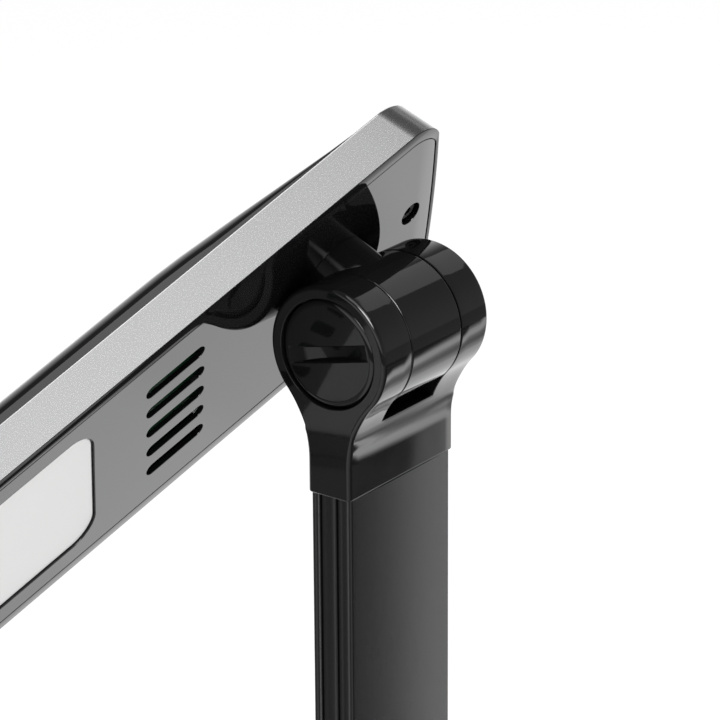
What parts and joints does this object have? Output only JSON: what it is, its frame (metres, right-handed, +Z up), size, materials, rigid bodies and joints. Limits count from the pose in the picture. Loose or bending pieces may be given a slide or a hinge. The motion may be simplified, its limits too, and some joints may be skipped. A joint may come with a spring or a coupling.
{
  "type": "table lamp",
  "caption": "Folding table lamp: flat weighted base with push buttons, slim tilting post and a long flat light head that tilts and swivels on its neck.",
  "frame": {"origin": "centre of the pad under the base, on the table", "axes": "+Z up, +Y to the front where the buttons are, +X along the hinge axes to the lamp's right"},
  "size_m": [0.3773, 0.17, 0.4472],
  "materials": {
    "gloss_black": "gloss",
    "post_black": "fine matt black anodised",
    "band_metal": "satin silver grey",
    "panel_black": "mirror gloss",
    "diffuser_white": "opal, satin",
    "clear_acrylic": "polished",
    "reflector_white": "satin",
    "raw_aluminium": "mill finish",
    "steel": "zinc plated",
    "bronze_bush": "oiled",
    "iron_weight": "as cast, lacquered",
    "tray_black": "matt",
    "pad_rubber": "fine textured",
    "board_green": "solder mask",
    "switch_black": "matt",
    "button_white": "satin gloss",
    "lead_grey": "matt",
    "chip_yellow": "phosphor",
    "bar_white": "satin",
    "friction_grey": "matt",
    "inlet_black": "matt",
    "screw_black": "blackened steel"
  },
  "bodies": {
    "base": {"base_pad": "pad_rubber", "base_tray": "tray_black", "base_weight": "iron_weight", "base_cover": "gloss_black", "base_screws": "steel", "pedestal": "gloss_black", "pedestal_screws": "steel", "lower_bushes": "bronze_bush", "control_panel": "gloss_black", "control_board": "board_green", "board_screws": "steel", "tact_switches": "switch_black", "power_inlet": "inlet_black", "inlet_lead": "lead_grey", "base_lead": "lead_grey"},
    "power_button": {"power_button": "button_white"},
    "colour_button": {"colour_button": "button_white"},
    "dimmer_button": {"dimmer_button": "button_white"},
    "brighter_button": {"brighter_button": "button_white"},
    "arm": {"lower_yoke": "gloss_black", "post": "post_black", "upper_yoke": "gloss_black", "lower_yoke_screws": "steel", "upper_yoke_screws": "steel", "post_lead": "lead_grey", "lower_pivot_bolt": "steel", "lower_pivot_nut": "steel", "upper_pivot_bolt": "steel", "upper_pivot_nut": "steel", "spring_washers": "steel"},
    "upper_left_cap": {"upper_left_cap": "gloss_black"},
    "upper_right_cap": {"upper_right_cap": "gloss_black"},
    "lower_left_cap": {"lower_left_cap": "gloss_black"},
    "lower_right_cap": {"lower_right_cap": "gloss_black"},
    "neck": {"neck": "gloss_black", "upper_bushes": "bronze_bush", "swivel_stud": "steel", "swivel_washer": "steel", "swivel_nut": "steel", "neck_lead": "lead_grey"},
    "head": {"head_frame": "band_metal", "bottom_panel": "panel_black", "diffuser": "diffuser_white", "light_guide": "clear_acrylic", "reflector_sheet": "reflector_white", "led_bars": "bar_white", "led_chips": "chip_yellow", "heat_plate": "raw_aluminium", "head_board": "board_green", "board_clips": "reflector_white", "swivel_seat": "steel", "seat_screws": "steel", "friction_disc": "friction_grey", "panel_screws": "screw_black", "head_lead": "lead_grey", "top_cover": "gloss_black"}
  },
  "joints": [
    {"name": "arm_tilt", "type": "hinge", "parent": "base", "child": "arm", "pos_m": [0, -0.045, 0.038], "axis": [-1, 0, 0], "range_deg": [-30, 45]},
    {"name": "head_tilt", "type": "hinge", "parent": "arm", "child": "neck", "pos_m": [0, -0.045, 0.398], "axis": [-1, 0, 0], "range_deg": [-93.3, 26.7]},
    {"name": "head_swivel", "type": "hinge", "parent": "neck", "child": "head", "pos_m": [0, -0.045, 0.398], "axis": [0, 0.8934, 0.4493], "range_deg": [-153.3, 26.7]},
    {"name": "upper_left_cap_turn", "type": "hinge", "parent": "arm", "child": "upper_left_cap", "pos_m": [-0.0175, -0.045, 0.398], "axis": [-1, 0, 0], "range_deg": [0, 45]},
    {"name": "upper_right_cap_turn", "type": "hinge", "parent": "arm", "child": "upper_right_cap", "pos_m": [0.0175, -0.045, 0.398], "axis": [1, 0, 0], "range_deg": [0, 45]},
    {"name": "lower_left_cap_turn", "type": "hinge", "parent": "arm", "child": "lower_left_cap", "pos_m": [-0.0175, -0.045, 0.038], "axis": [-1, 0, 0], "range_deg": [0, 45]},
    {"name": "lower_right_cap_turn", "type": "hinge", "parent": "arm", "child": "lower_right_cap", "pos_m": [0.0175, -0.045, 0.038], "axis": [1, 0, 0], "range_deg": [0, 45]},
    {"name": "power_press", "type": "slide", "parent": "base", "child": "power_button", "axis": [0, 0, -1], "range_m": [0, 0.0006], "stiffness_N_per_m": 1800, "springref_m": -0.0003},
    {"name": "colour_press", "type": "slide", "parent": "base", "child": "colour_button", "axis": [0, 0, -1], "range_m": [0, 0.0006], "stiffness_N_per_m": 1800, "springref_m": -0.0003},
    {"name": "dimmer_press", "type": "slide", "parent": "base", "child": "dimmer_button", "axis": [0, 0, -1], "range_m": [0, 0.0006], "stiffness_N_per_m": 1800, "springref_m": -0.0003},
    {"name": "brighter_press", "type": "slide", "parent": "base", "child": "brighter_button", "axis": [0, 0, -1], "range_m": [0, 0.0006], "stiffness_N_per_m": 1800, "springref_m": -0.0003}
  ]
}
